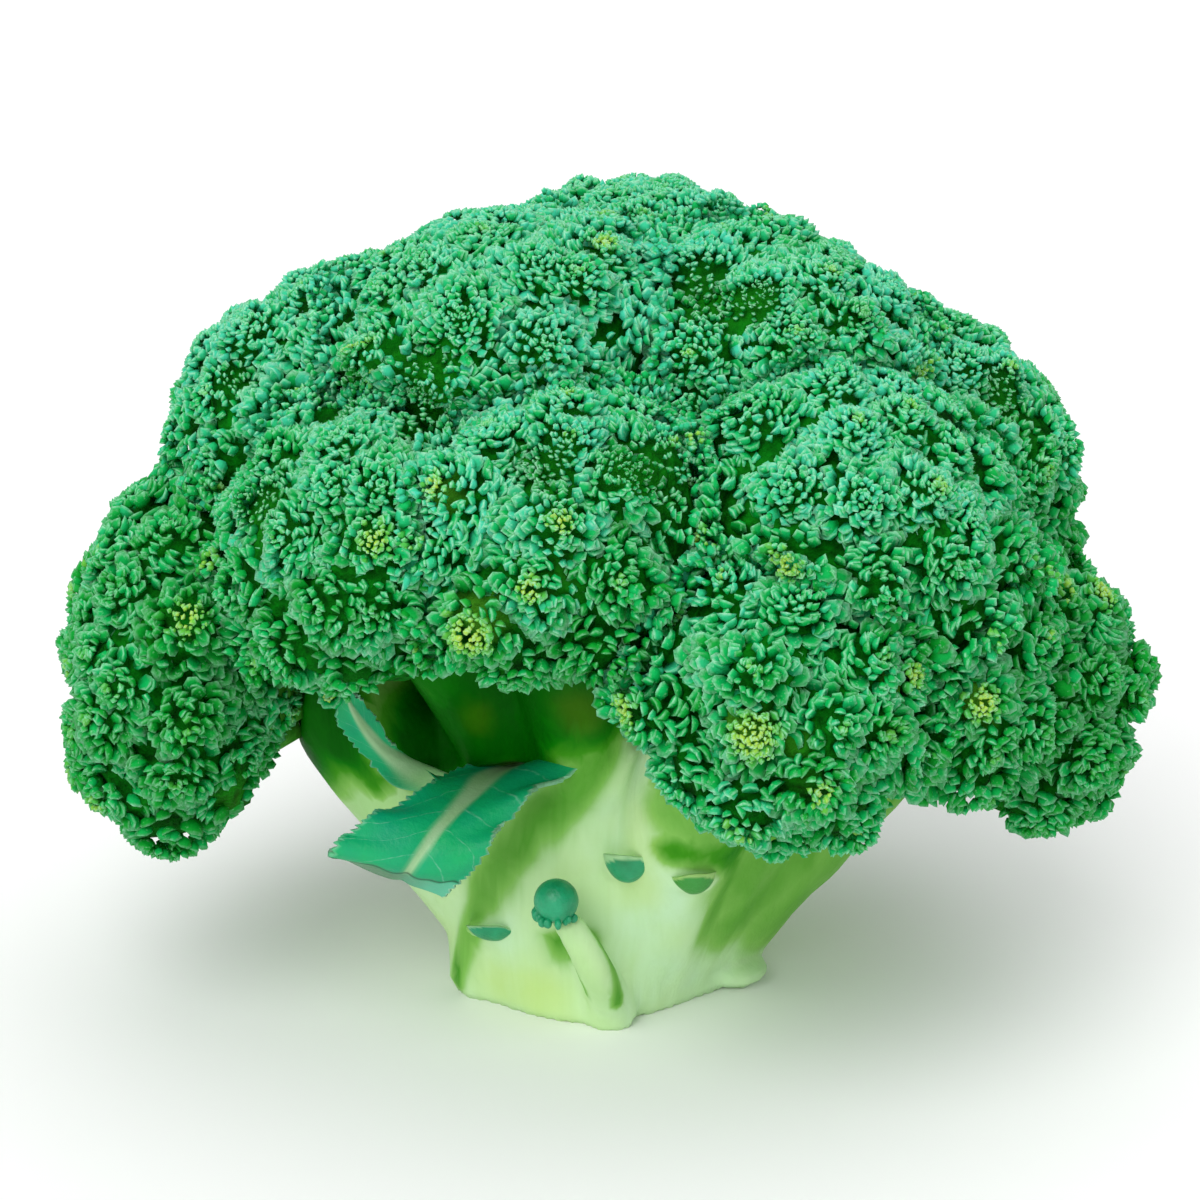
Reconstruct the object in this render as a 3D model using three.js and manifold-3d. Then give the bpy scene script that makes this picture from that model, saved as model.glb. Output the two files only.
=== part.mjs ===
// A head of broccoli as sold: a wide crown of florets on a short, thick stalk, standing on its cut face.
// Millimetres, +Z up, the origin at the middle of the cut face. -Y is the side that faces the viewer.
//
// The stalk is one pale solid: a trunk, a branch to each floret, a side shoot and the foot of a leaf that
// was broken off. Each floret is a dark green dome that its neighbours crowd flat, raised by a formula into
// lobes, and the lobes into bud clusters. Two small leaves, the tip of the side shoot and the stubs of
// three leaf stalks sit in shallow pockets of the stalk.

import * as THREE from "three";
import { ConvexGeometry } from "three/addons/geometries/ConvexGeometry.js";
import { mergeVertices } from "three/addons/utils/BufferGeometryUtils.js";
import Module from "manifold-3d";

const wasm = await Module();
wasm.setup();

// Driving dimensions
const GAP = 0.3; // between two pieces that touch
const HUB_HEIGHT = 24; // where the upper branches part
const CUT_RADIUS = 24; // of the cut face, on average
const REACH = 200; // more than the head measures any way

// Florets: the middle of each dome, its radius across and its radius along its own branch. A low one has
// the height that it faces away from, and the radius halfway up its thick branch.
const FLORETS = [
  { name: "floret_top_back", at: [5.5, 26, 98], across: 31, thick: 24.5 },
  { name: "floret_top_left", at: [-15.5, -4, 99.5], across: 31, thick: 24.5 },
  { name: "floret_top_right", at: [22.5, -2, 97.5], across: 28.5, thick: 24 },
  { name: "floret_left_up", at: [-44.5, 4, 91.5], across: 24, thick: 20.5 },
  { name: "floret_right_up", at: [49, 4, 84.5], across: 24.5, thick: 20.5 },
  { name: "floret_front_left", at: [-33, -26, 80], across: 26, thick: 21.5 },
  { name: "floret_front_mid", at: [-8.5, -37, 83.5], across: 24.5, thick: 20.5 },
  { name: "floret_front_right", at: [34.5, -30, 82], across: 28, thick: 22 },
  { name: "floret_left_low", at: [-66.5, -6, 54.5], across: 29, thick: 17.5, from: 46, branch: 13 },
  { name: "floret_right_low", at: [65, -8, 50.5], across: 22.5, thick: 17, from: 38, branch: 12 },
  { name: "floret_front_low", at: [23.5, -48, 64], across: 23, thick: 19.5, from: 30, branch: 10.5 },
  { name: "floret_front_side", at: [46, -30, 63], across: 22, thick: 19, from: 30, branch: 10.5 },
  { name: "floret_back_left", at: [-32, 34, 86], across: 27, thick: 22 },
  { name: "floret_back_right", at: [38, 34, 82], across: 27, thick: 22 },
  { name: "floret_back_mid", at: [3, 51, 76], across: 26, thick: 20 },
  { name: "floret_back_low_left", at: [-44, 36, 57], across: 25, thick: 19, from: 36, branch: 12 },
  { name: "floret_back_low_right", at: [47, 34, 54], across: 24, thick: 19, from: 36, branch: 12 },
  { name: "floret_back_low", at: [4, 56, 52], across: 22, thick: 17, from: 36, branch: 12 },
];
const LOBE_PITCH = 14; // from one lobe of a floret to the next
const LOBE_RISE = 4.4; // from the creases to the top of a lobe
const CLUSTER_PITCH = 6.5; // from one raised bud cluster to the next
const CLUSTER_RISE = 1.1; // from the hollows to the top of a cluster
const HIDDEN_COUNT = 56; // directions round a floret for the sides that its neighbours press flat
const NECK_SIDES = 10;
// The underside of a floret is a cone, cut off square where its branch meets it. Shares of across:
const CONE_WIDE = 1.3;
const CONE_DEPTH = 0.95;
const NECK_DROP = 0.64;

// Branches
const STEM_SIDES = 9; // of branches and of the side shoot
const STEM_STEPS = 5;
const BRANCH_FOOT_OUT = 14.5; // from the trunk's axis to the foot of a level branch
const BRANCH_FOOT_HEIGHT = 11;
const BRANCH_FOOT_RADIUS = 12.5;
const BRANCH_MIDDLE_RADIUS = 8.5;
const BRANCH_LEAD = 8; // the straight run of a branch below its floret
const BRANCH_INSET = 0.8; // a branch is this much slimmer than the neck that it meets

// Trunk: the outline of the cut face, as bearings in degrees from +X and distances from the middle.
// It is flattest at the front right, and it has a corner under the lowest leaf at the front left.
const CUT_OUTLINE = [
  [0, 24.5], [30, 24], [65, 23], [95, 24.5], [130, 23], [165, 25], [190, 26], [206, 27.5],
  [225, 24], [263, 24], [285, 21], [310, 19.5], [335, 21], [348, 24], [360, 24.5],
];
// and its swelling above that, as shares of the outline and heights. It turns round by ROUND_HEIGHT.
const TRUNK_PROFILE = [
  [0, 0], [0.97, 0], [1.01, 1.5], [1.03, 8], [1.08, 16], [1.1, 26], [1.04, 36], [0.85, 43], [0, 49],
];
const TRUNK_SIDES = 36;
const ROUND_HEIGHT = 26;

// The side shoot that leans on the front of the trunk, and its round tip with a frill of tiny leaves
const SHOOT = { foot: [0, -21.5, 2], bend: [-1, -29.5, 11], tip: [-7.2, -31, 22], radii: [4.6, 2.2] };
const SHOOT_TIP = { at: [-8.2, -31.6, 24.6], radius: 3.4, frill: 1.3, frills: 7, drop: 1.6 };

// Stubs of broken leaf stalks: where each is seen from the front, and its radii
const STUBS = [
  { name: "leaf_stub_left", across: -18, height: 14, radii: [4.6, 3, 1.9] },
  { name: "leaf_stub_mid", across: 2.6, height: 28.5, radii: [3.8, 3, 2.7] },
  { name: "leaf_stub_right", across: 12.5, height: 27, radii: [3.5, 3, 2.1] },
];
const BALL_SIDES = 10; // of the stubs, the shoot tip and the ledge, which are drawn out balls
const FRILL_SIDES = 6;
const LEDGE = { at: [19.5, -7.5, 2.4], radii: [6, 5.5, 2.4] }; // the foot of a broken leaf, on the cut

// Leaves: both edges and the midrib of each blade from foot to tip, with the same number of places
const LARGE_LEAF = {
  left: [[-17, -13, 40.5], [-22.7, -20, 41.6], [-27.2, -27, 41], [-31.5, -33, 40.6], [-35.4, -37, 40.2],
    [-38.5, -40, 39.2], [-40.6, -41, 37.4], [-41, -38.4, 35.4]],
  rib: [[-12.5, -14, 40.5], [-17.9, -22, 41.4], [-20.5, -28, 40.9], [-23, -33, 39.8], [-25.5, -36.7, 38.2],
    [-27.5, -39, 36.1], [-29.5, -39.8, 33.6], [-31, -36.8, 30.4]],
  right: [[-2, -15, 44.5], [-1.9, -22, 44.9], [-7.4, -27, 42.6], [-12.1, -30.5, 40.8], [-15.7, -34, 38.4],
    [-18.2, -37, 35.5], [-21.6, -38.8, 31.6], [-24.5, -36.5, 28.4]],
  tooth: 0.55,
  thickness: 0.8,
  ribHeight: 0.9,
  rows: 24,
  columns: 6,
};
const SMALL_LEAF = {
  left: [[-30, -14, 38], [-34.9, -24, 41.8], [-37.4, -26, 44.8], [-39.7, -28, 49.1], [-40.7, -29, 53],
    [-39.6, -29, 57.2]],
  rib: [[-26, -13, 39], [-31, -21.5, 43], [-34.7, -25, 46.4], [-36.8, -27.5, 50.5], [-38.6, -29, 54.7],
    [-39.2, -29, 57.6]],
  right: [[-23, -13, 41], [-28.6, -19, 44.3], [-32.2, -24, 47.3], [-34.4, -27, 51.6], [-36.9, -29, 55.5],
    [-38.8, -29, 57.2]],
  tooth: 0.35,
  thickness: 0.8,
  ribHeight: 0.7,
  rows: 16,
  columns: 4,
};
const RIB_SHARE = 0.22; // of a half blade, how wide the midrib is
const RIB_TAPER = 0.6; // how much lower the midrib is at the tip

const PALE_GREEN = new THREE.MeshStandardMaterial({ color: 0xb9dc9c, roughness: 0.5 });
const BUD_GREEN = new THREE.MeshStandardMaterial({ color: 0x17703f, roughness: 0.7 });
const LEAF_GREEN = new THREE.MeshStandardMaterial({ color: 0x138a60, roughness: 0.55 });

const SAME = 1e-3; // two places closer than this are one
const SLOPE_STEP = 0.01; // share of a blade over which its slope is taken
const UP = new THREE.Vector3(0, 0, 1);
const point = (x, y, z) => new THREE.Vector3(x, y, z);

// Booleans
function solidOf(geometry) {
  const bare = geometry.clone();
  bare.deleteAttribute("normal");
  bare.deleteAttribute("uv");
  const merged = mergeVertices(bare, SAME / 10);
  return new wasm.Manifold(
    new wasm.Mesh({
      numProp: 3,
      vertProperties: merged.attributes.position.array,
      triVerts: new Uint32Array(merged.index.array),
    }),
  );
}

function geometryOf(solid) {
  const mesh = solid.getMesh();
  const geometry = new THREE.BufferGeometry();
  geometry.setAttribute("position", new THREE.BufferAttribute(mesh.vertProperties, 3));
  geometry.setIndex(new THREE.BufferAttribute(mesh.triVerts, 1));
  geometry.computeVertexNormals();
  return geometry;
}

// Florets

const florets = FLORETS.map((given) => {
  const middle = point(...given.at);
  const hub = point(0, 0, given.from ?? HUB_HEIGHT);
  return { ...given, middle, axis: middle.clone().sub(hub).normalize() };
});

// Even directions round a floret, on the spiral that plants use, starting along its own branch.
function spiralDirections(floret, count) {
  const goldenAngle = Math.PI * (3 - Math.sqrt(5));
  const turn = new THREE.Quaternion().setFromUnitVectors(UP, floret.axis);
  return Array.from({ length: count }, (_, i) => {
    const height = 1 - (2 * i + 1) / count;
    const ring = Math.sqrt(1 - height * height);
    const along = i * goldenAngle;
    return point(ring * Math.cos(along), ring * Math.sin(along), height).applyQuaternion(turn);
  });
}

// How many places a whole sphere holds at a pitch, packed in triangles.
function placesOver(radius, pitch) {
  const areaOfOne = (pitch ** 2 * Math.sqrt(3)) / 2;
  return Math.round((4 * Math.PI * radius ** 2) / areaOfOne);
}

// The flat sides where two florets press together, halfway between their domes.
for (const floret of florets) {
  floret.flats = [];
  for (const other of florets) {
    const towards = other.middle.clone().sub(floret.middle);
    const apart = towards.length();
    if (other === floret || apart > floret.across + other.across + LOBE_RISE) continue;
    const share = (apart ** 2 + floret.across ** 2 - other.across ** 2) / (2 * apart);
    floret.flats.push({ normal: towards.normalize(), distance: share - GAP / 2 });
  }
}

// A direction's share along a floret's branch and its share square to it.
function sharesOf(floret, direction) {
  const along = direction.dot(floret.axis);
  return { along, out: Math.sqrt(Math.max(0, 1 - along * along)) };
}

function domeRadius(floret, direction) {
  const { along, out } = sharesOf(floret, direction);
  return 1 / Math.hypot(out / floret.across, along / floret.thick);
}

// How far the flat sides, the cone of the underside and the neck let the floret reach.
function crowdedRadius(floret, direction) {
  const { along, out } = sharesOf(floret, direction);
  let radius = Infinity;
  for (const { normal, distance } of floret.flats) {
    const towards = direction.dot(normal);
    if (towards > 0) radius = Math.min(radius, distance / towards);
  }
  const cone = out / (CONE_WIDE * floret.across) - along / (CONE_DEPTH * floret.across);
  if (cone > 0) radius = Math.min(radius, 1 / cone);
  if (along < 0) radius = Math.min(radius, (NECK_DROP * floret.across) / -along);
  return radius;
}

const isOpen = (floret, direction) => domeRadius(floret, direction) < crowdedRadius(floret, direction);

const neckRadius = (floret) => CONE_WIDE * floret.across * (1 - NECK_DROP / CONE_DEPTH);

// The middles of the triangles between open clusters: the hollows round each cluster.
function hollowsBetween(clusters, closed) {
  const net = new ConvexGeometry([...clusters, ...closed]).getAttribute("position");
  const isCluster = (corner) => clusters.some((c) => c.distanceTo(corner) < SAME);
  const hollows = [];
  for (let i = 0; i < net.count; i += 3) {
    const corners = [0, 1, 2].map((k) => new THREE.Vector3().fromBufferAttribute(net, i + k));
    if (!corners.every(isCluster)) continue;
    hollows.push(corners[0].add(corners[1]).add(corners[2]).normalize());
  }
  return hollows;
}

// A bump over each place: highest over its middle, lowest halfway to the next.
function bump(floret, direction, places, pitch, height) {
  const nearest = Math.min(...places.map((p) => p.distanceTo(direction))) * floret.across;
  const share = Math.min(1, nearest / (pitch / Math.sqrt(3)));
  return height * (0.5 - share * share);
}

function floretGeometry(floret) {
  const lobes = spiralDirections(floret, placesOver(floret.across, LOBE_PITCH));
  const spiral = spiralDirections(floret, placesOver(floret.across, CLUSTER_PITCH));
  const clusters = spiral.filter((d) => isOpen(floret, d));
  const closed = spiralDirections(floret, HIDDEN_COUNT).filter((d) => !isOpen(floret, d));
  const side = point(floret.axis.y, -floret.axis.x, 0).normalize();
  const neckTilt = Math.atan2(neckRadius(floret), NECK_DROP * floret.across);
  const toRim = floret.axis.clone().negate().applyAxisAngle(side, neckTilt);
  const neck = Array.from({ length: NECK_SIDES }, (_, k) =>
    toRim.clone().applyAxisAngle(floret.axis, (k * 2 * Math.PI) / NECK_SIDES),
  );
  const directions = [...clusters, ...hollowsBetween(clusters, closed), ...closed, ...neck];
  const geometry = mergeVertices(new ConvexGeometry(directions).deleteAttribute("normal"), SAME / 10);
  const positions = geometry.getAttribute("position");
  for (let i = 0; i < positions.count; i++) {
    const direction = new THREE.Vector3().fromBufferAttribute(positions, i).normalize();
    const raised =
      domeRadius(floret, direction) +
      bump(floret, direction, lobes, LOBE_PITCH, LOBE_RISE) +
      bump(floret, direction, clusters, CLUSTER_PITCH, CLUSTER_RISE);
    const radius = Math.min(raised, crowdedRadius(floret, direction));
    positions.setXYZ(i, ...direction.multiplyScalar(radius).toArray());
  }
  geometry.computeVertexNormals();
  return geometry;
}

// Stalk

// A round stem along a curve, with its radius swelling from foot to tip.
function stemSolid(curve, radiusAt) {
  const section = new THREE.Shape().absarc(0, 0, 1, 0, 2 * Math.PI);
  const geometry = new THREE.ExtrudeGeometry(section, {
    steps: STEM_STEPS,
    curveSegments: STEM_SIDES,
    bevelEnabled: false,
    extrudePath: curve,
  });
  const centres = curve.getSpacedPoints(STEM_STEPS);
  const positions = geometry.getAttribute("position");
  for (let i = 0; i < positions.count; i++) {
    const vertex = new THREE.Vector3().fromBufferAttribute(positions, i);
    const distances = centres.map((c) => c.distanceTo(vertex));
    const step = distances.indexOf(Math.min(...distances));
    vertex.sub(centres[step]).multiplyScalar(radiusAt(step / STEM_STEPS)).add(centres[step]);
    positions.setXYZ(i, ...vertex.toArray());
  }
  return solidOf(geometry);
}

function branchSolid(floret) {
  const outward = point(floret.axis.x, floret.axis.y, 0);
  const foot = outward.multiplyScalar(BRANCH_FOOT_OUT * outward.length()).setZ(BRANCH_FOOT_HEIGHT);
  const tip = floret.middle.clone().addScaledVector(floret.axis, -NECK_DROP * floret.across - GAP);
  const bend = tip.clone().addScaledVector(floret.axis, -BRANCH_LEAD);
  const radii = new THREE.SplineCurve([
    new THREE.Vector2(0, BRANCH_FOOT_RADIUS),
    new THREE.Vector2(0.5, floret.branch ?? BRANCH_MIDDLE_RADIUS),
    new THREE.Vector2(1, neckRadius(floret) - BRANCH_INSET),
  ]);
  return stemSolid(new THREE.QuadraticBezierCurve3(foot, bend, tip), (t) => radii.getPoint(t).y);
}

// A branch with room cut in it for the florets that it passes.
function clearedBranch(floret) {
  let branch = branchSolid(floret);
  for (const other of florets) {
    if (other === floret) continue;
    const grown = 1 + (2 * GAP) / other.across;
    const room = floretGeometry(other).scale(grown, grown, grown).translate(...other.at);
    branch = branch.subtract(solidOf(room));
  }
  return branch;
}

function cutRadius(bearing) {
  const degrees = THREE.MathUtils.euclideanModulo(THREE.MathUtils.radToDeg(bearing), 360);
  const next = CUT_OUTLINE.findIndex(([place]) => place > degrees);
  const [placeBefore, before] = CUT_OUTLINE[next - 1];
  const [placeAfter, after] = CUT_OUTLINE[next];
  return THREE.MathUtils.lerp(before, after, THREE.MathUtils.smoothstep(degrees, placeBefore, placeAfter));
}

// The trunk: turned, then drawn in to the outline of the cut at its foot.
function trunkSolid() {
  const profile = TRUNK_PROFILE.map(([share, height]) => new THREE.Vector2(share, height));
  const geometry = new THREE.LatheGeometry(profile, TRUNK_SIDES).rotateX(Math.PI / 2);
  const positions = geometry.getAttribute("position");
  for (let i = 0; i < positions.count; i++) {
    const bearing = Math.atan2(positions.getY(i), positions.getX(i));
    const roundness = THREE.MathUtils.smoothstep(positions.getZ(i), 0, ROUND_HEIGHT);
    const radius = THREE.MathUtils.lerp(cutRadius(bearing), CUT_RADIUS, roundness);
    positions.setXY(i, positions.getX(i) * radius, positions.getY(i) * radius);
  }
  return solidOf(geometry);
}

function shootSolid() {
  const [foot, bend, tip] = [SHOOT.foot, SHOOT.bend, SHOOT.tip].map((at) => point(...at));
  const curve = new THREE.QuadraticBezierCurve3(foot, bend, tip);
  return stemSolid(curve, (t) => THREE.MathUtils.lerp(...SHOOT.radii, Math.sqrt(t)));
}

function ballSolid(centre, radii, sides = BALL_SIDES) {
  const geometry = new THREE.SphereGeometry(1, sides, Math.ceil(sides / 2) + 1);
  geometry.scale(...radii).translate(...centre.toArray());
  return solidOf(geometry);
}

// The round tip of the shoot with a frill of tiny leaves under it.
function shootTipSolid(grown = 0) {
  const { at, radius, frill, frills, drop } = SHOOT_TIP;
  const middle = point(...at);
  const size = radius + grown;
  let solid = ballSolid(middle, [size, size, size]);
  for (let k = 0; k < frills; k++) {
    const turn = (k * 2 * Math.PI) / frills;
    const out = point(Math.cos(turn), Math.sin(turn), 0).multiplyScalar(radius - frill / 3);
    const place = middle.clone().add(out).addScaledVector(UP, -drop);
    solid = solid.add(ballSolid(place, [frill + grown, frill + grown, frill + grown], FRILL_SIDES));
  }
  return solid;
}

// Leaves

// A blade over a grid: upper and lower faces with the same triangles, joined round the rim.
// u runs across from -1 at the left edge to 1 at the right, and v along from 0 at the foot to 1 at the tip.
function bladeSolid(leaf, grown = 0) {
  const { rows, columns } = leaf;
  const [left, rib, right] = [leaf.left, leaf.rib, leaf.right].map(
    (places) => new THREE.CatmullRomCurve3(places.map((place) => point(...place))),
  );
  const surfaceAt = (u, v) =>
    rib
      .getPoint(v)
      .multiplyScalar(1 - u * u)
      .addScaledVector(left.getPoint(v), (u * u - u) / 2)
      .addScaledVector(right.getPoint(v), (u * u + u) / 2);
  const face = new THREE.PlaneGeometry(2, 1, columns, rows);
  const grid = face.getAttribute("position");
  const upper = [];
  const lower = [];
  for (let i = 0; i < grid.count; i++) {
    const u = grid.getX(i);
    const v = grid.getY(i) + 0.5;
    const row = Math.round(v * rows);
    const middle = surfaceAt(u, v);
    const after = Math.min(1, v + SLOPE_STEP);
    const before = Math.max(0, v - SLOPE_STEP);
    const aside = surfaceAt(u + SLOPE_STEP, v).sub(surfaceAt(u - SLOPE_STEP, v)).normalize();
    const along = surfaceAt(u, after).sub(surfaceAt(u, before)).normalize();
    const up = new THREE.Vector3().crossVectors(aside, along).normalize();
    const tooth = row > 1 && row < rows ? leaf.tooth * (row % 2 ? 1 : -1) : 0;
    if (Math.abs(u) === 1) middle.addScaledVector(aside, u * (tooth + grown));
    if (row === 0 || row === rows) middle.addScaledVector(along, row === 0 ? -grown : grown);
    const ribShape = Math.exp(-((u / RIB_SHARE) ** 2)) * (1 - RIB_TAPER * v);
    const half = (leaf.thickness + leaf.ribHeight * ribShape) / 2 + grown;
    upper.push(...middle.clone().addScaledVector(up, half).toArray());
    lower.push(...middle.addScaledVector(up, -half).toArray());
  }
  const top = Array.from(face.index.array);
  const index = [...top];
  for (let i = 0; i < top.length; i += 3) {
    index.push(top[i] + grid.count, top[i + 2] + grid.count, top[i + 1] + grid.count);
  }
  const across = columns + 1;
  const rim = [
    ...Array.from({ length: columns }, (_, k) => k),
    ...Array.from({ length: rows }, (_, k) => columns + k * across),
    ...Array.from({ length: columns }, (_, k) => (rows + 1) * across - 1 - k),
    ...Array.from({ length: rows }, (_, k) => (rows - k) * across),
  ];
  rim.forEach((a, k) => {
    const b = rim[(k + 1) % rim.length];
    index.push(a, b, a + grid.count, b, b + grid.count, a + grid.count);
  });
  const geometry = new THREE.BufferGeometry();
  geometry.setAttribute("position", new THREE.Float32BufferAttribute([...upper, ...lower], 3));
  geometry.setIndex(index);
  return solidOf(geometry);
}

// Assembly

let stalk = trunkSolid().add(shootSolid()).add(ballSolid(point(...LEDGE.at), LEDGE.radii));
for (const floret of florets) stalk = stalk.add(clearedBranch(floret));

// Each stub sits on the stalk where a line of sight from the front first meets it.
const bareStalk = new THREE.Mesh(geometryOf(stalk), PALE_GREEN);
const stubs = STUBS.map((stub) => {
  const sight = new THREE.Raycaster(point(stub.across, -REACH, stub.height), point(0, 1, 0));
  return { ...stub, middle: sight.intersectObject(bareStalk)[0].point };
});
for (const stub of stubs) stalk = stalk.subtract(ballSolid(stub.middle, stub.radii.map((r) => r + GAP)));
stalk = stalk.subtract(shootTipSolid(GAP));
for (const leaf of [LARGE_LEAF, SMALL_LEAF]) stalk = stalk.subtract(bladeSolid(leaf, GAP));
// Nothing reaches below the cut.
const below = new THREE.BoxGeometry(REACH, REACH, REACH).translate(0, 0, -REACH / 2);
stalk = stalk.subtract(solidOf(below));

function piece(name, geometry, material, position = point(0, 0, 0)) {
  const mesh = new THREE.Mesh(geometry, material);
  mesh.name = name;
  mesh.position.copy(position);
  return mesh;
}

const broccoli = new THREE.Group();
broccoli.add(piece("stalk", geometryOf(stalk), PALE_GREEN));
for (const floret of florets) {
  broccoli.add(piece(floret.name, floretGeometry(floret), BUD_GREEN, floret.middle));
}
broccoli.add(piece("leaf_large", geometryOf(bladeSolid(LARGE_LEAF)), LEAF_GREEN));
broccoli.add(piece("leaf_small", geometryOf(bladeSolid(SMALL_LEAF)), LEAF_GREEN));
broccoli.add(piece("shoot_tip", geometryOf(shootTipSolid()), LEAF_GREEN));
for (const stub of stubs) {
  broccoli.add(piece(stub.name, geometryOf(ballSolid(stub.middle, stub.radii)), LEAF_GREEN));
}

export default broccoli;
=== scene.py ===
import math
import random

import bmesh
import bpy
from mathutils import Matrix, Vector, noise
from mathutils.kdtree import KDTree


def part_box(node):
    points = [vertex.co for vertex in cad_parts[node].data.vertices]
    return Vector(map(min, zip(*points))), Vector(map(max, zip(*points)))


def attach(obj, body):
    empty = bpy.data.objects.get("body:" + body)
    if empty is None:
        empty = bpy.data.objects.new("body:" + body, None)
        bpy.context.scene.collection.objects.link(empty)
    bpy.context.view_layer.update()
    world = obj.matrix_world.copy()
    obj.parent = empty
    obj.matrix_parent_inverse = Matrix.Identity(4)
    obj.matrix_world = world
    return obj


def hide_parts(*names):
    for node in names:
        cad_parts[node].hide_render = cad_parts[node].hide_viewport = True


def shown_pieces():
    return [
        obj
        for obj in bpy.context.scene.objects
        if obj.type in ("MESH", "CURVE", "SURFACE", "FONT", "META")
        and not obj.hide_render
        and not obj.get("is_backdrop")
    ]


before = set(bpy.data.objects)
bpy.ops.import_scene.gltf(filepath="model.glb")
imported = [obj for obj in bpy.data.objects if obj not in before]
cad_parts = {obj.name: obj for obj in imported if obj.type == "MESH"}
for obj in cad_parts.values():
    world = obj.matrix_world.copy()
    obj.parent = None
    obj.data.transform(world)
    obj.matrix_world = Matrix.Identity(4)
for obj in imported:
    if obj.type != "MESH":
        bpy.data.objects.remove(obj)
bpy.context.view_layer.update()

# A head of broccoli: a crown of buds on a short pale stalk, with two small leaves and a side shoot.
# Lengths in the dictionaries are millimetres; everything that is built is in metres.

mm = 0.001
goldenAngle = math.pi * (3 - math.sqrt(5))
upward = Vector((0, 0, 1))
noise.seed_set(7)  # or else noise_vector takes its seed from the clock


# Helpers for meshes

def place(numbers):
    return Vector(numbers) * mm


def blend(low, high, share):
    return low + (high - low) * share


def smooth(value, low, high):
    share = min(max((value - low) / (high - low), 0), 1)
    return share * share * (3 - 2 * share)


def newLayers(shape, *names):
    layers = shape.verts.layers.float
    for name in names:
        layers.new(name)
    return [layers[name] for name in names]


def asMesh(shape, name):
    for face in shape.faces:
        face.smooth = True
    mesh = bpy.data.meshes.new(name)
    shape.to_mesh(mesh)
    shape.free()
    return mesh


def newObject(name, contents):
    made = bpy.data.objects.new(name, contents)
    bpy.context.scene.collection.objects.link(made)
    return made


def newPiece(name, mesh, materials, node):
    piece = newObject(name, mesh)
    for material in materials:
        mesh.materials.append(material)
    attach(piece, "root")
    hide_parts(node)


def setFloat(mesh, name, value):
    layer = mesh.attributes.get(name) or mesh.attributes.new(name, "FLOAT", "POINT")
    layer.data.foreach_set("value", [value] * len(mesh.vertices))


# Helpers for materials

def colour(red, green, blue):
    # as picked on a screen, 0 to 255
    def linear(part):
        part /= 255
        return part / 12.92 if part <= 0.04045 else ((part + 0.055) / 1.055) ** 2.4
    return (linear(red), linear(green), linear(blue), 1)


def addNode(tree, kind, values=None, **settings):
    node = tree.nodes.new(kind)
    for name, value in settings.items():
        setattr(node, name, value)
    for name, value in (values or {}).items():
        if isinstance(value, bpy.types.NodeSocket):
            tree.links.new(value, node.inputs[name])
        else:
            node.inputs[name].default_value = value
    return node


def attributes(tree, *names):
    return [addNode(tree, "ShaderNodeAttribute", attribute_name=name).outputs["Fac"] for name in names]


def mixColours(tree, share, first, second):
    return addNode(tree, "ShaderNodeMix", {0: share, 6: first, 7: second}, data_type="RGBA").outputs[2]


def ramp(tree, share, stops):
    node = addNode(tree, "ShaderNodeValToRGB", {"Fac": share})
    elements = node.color_ramp.elements
    while len(elements) < len(stops):
        elements.new(0.5)
    for element, (position, shade) in zip(elements, stops):
        element.position = position
        element.color = shade
    return node.outputs["Color"]


def mapRange(tree, value, fromLow, fromHigh, toLow, toHigh):
    return addNode(tree, "ShaderNodeMapRange", {
        "Value": value, "From Min": fromLow, "From Max": fromHigh,
        "To Min": toLow, "To Max": toHigh}).outputs["Result"]


def calculate(tree, operation, first, second):
    return addNode(tree, "ShaderNodeMath", {0: first, 1: second}, operation=operation).outputs[0]


def multiply(tree, first, second):
    return calculate(tree, "MULTIPLY", first, second)


def newMaterial(name, **fixed):
    material = bpy.data.materials.new(name)
    material.use_nodes = True
    tree = material.node_tree
    shader = tree.nodes["Principled BSDF"]
    for socket, value in fixed.items():
        shader.inputs[socket.replace("_", " ")].default_value = value
    return material, tree, shader


def newGroup(name, inputs, outputs):
    group = bpy.data.node_groups.new(name, "ShaderNodeTree")
    for socket, kind, value in inputs:
        made = group.interface.new_socket(socket, in_out="INPUT", socket_type="NodeSocket" + kind)
        if value is not None:
            made.default_value = value
    for socket, kind in outputs:
        group.interface.new_socket(socket, in_out="OUTPUT", socket_type="NodeSocket" + kind)
    return group, group.nodes.new("NodeGroupInput").outputs, group.nodes.new("NodeGroupOutput").inputs


def placeGroup(tree, group, values):
    values["Coordinates"] = addNode(tree, "ShaderNodeTexCoord").outputs["Object"]
    return addNode(tree, "ShaderNodeGroup", values, node_tree=group).outputs


def placeMottle(tree, blotchScale, grainScale):
    return placeGroup(tree, mottleGroup, {"Blotch Scale": blotchScale, "Grain Scale": grainScale})


def placeFibre(tree, across, along):
    return placeGroup(tree, fibreGroup, {"Across": across, "Along": along})


def finishSkin(tree, shader, skin, height, strength, distance):
    # the colour, and a bump whose depth is in millimetres
    tree.links.new(skin, shader.inputs["Base Color"])
    bump = addNode(tree, "ShaderNodeBump", {
        "Strength": strength, "Distance": distance * mm, "Height": height})
    tree.links.new(bump.outputs[0], shader.inputs["Normal"])


# Effects that several materials use

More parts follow.
